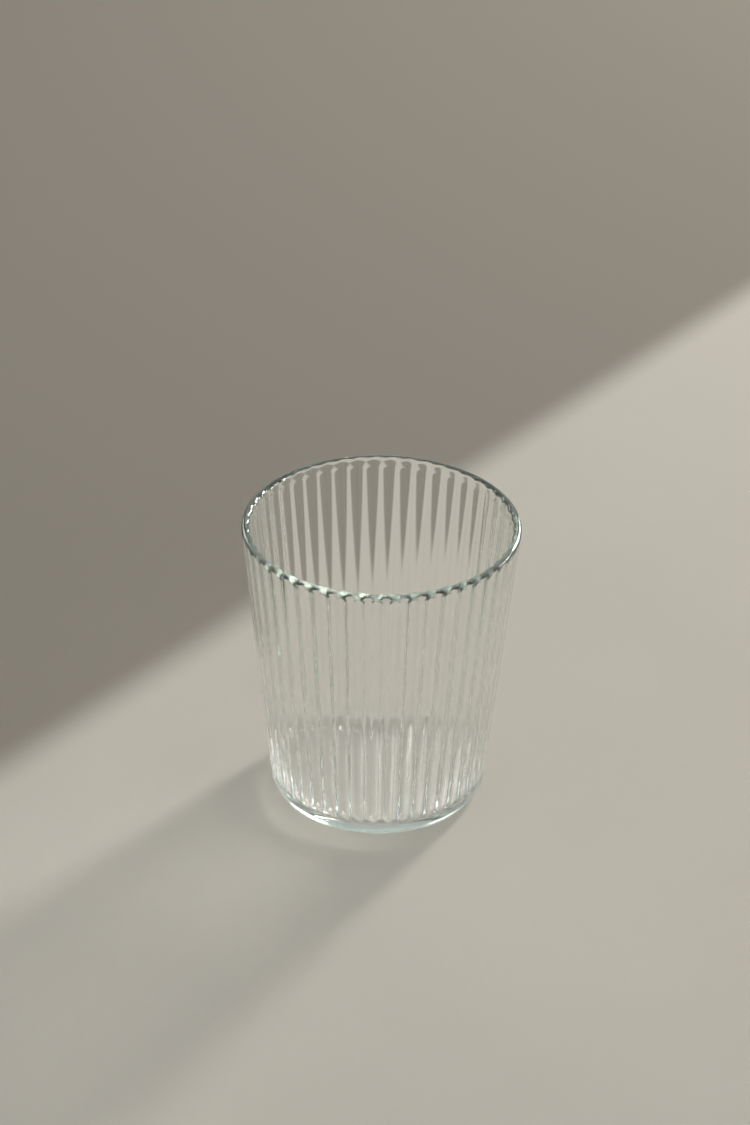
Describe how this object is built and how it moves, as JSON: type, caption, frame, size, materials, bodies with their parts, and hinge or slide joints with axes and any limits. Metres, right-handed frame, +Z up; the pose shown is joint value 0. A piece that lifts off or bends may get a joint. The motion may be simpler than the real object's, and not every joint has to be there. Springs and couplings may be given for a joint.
{
  "type": "water glass",
  "caption": "Clear tapered water glass, smooth outside, with upright ribs inside the wall, a rounded heel, a flat underside and a full-round fire-polished rim.",
  "frame": {"origin": "middle of the flat underside, on the table", "axes": "+Z up along the axis of the glass; the picture looks along +Y, so -Y faces the viewer and +X is to the viewer's right"},
  "size_m": [0.08, 0.08, 0.089],
  "materials": {
    "clear_glass": "smooth, clear, with a faint green tint at the edges"
  },
  "bodies": {
    "root": {"base": "clear_glass", "ribbed_wall": "clear_glass", "rim": "clear_glass"}
  },
  "joints": []
}
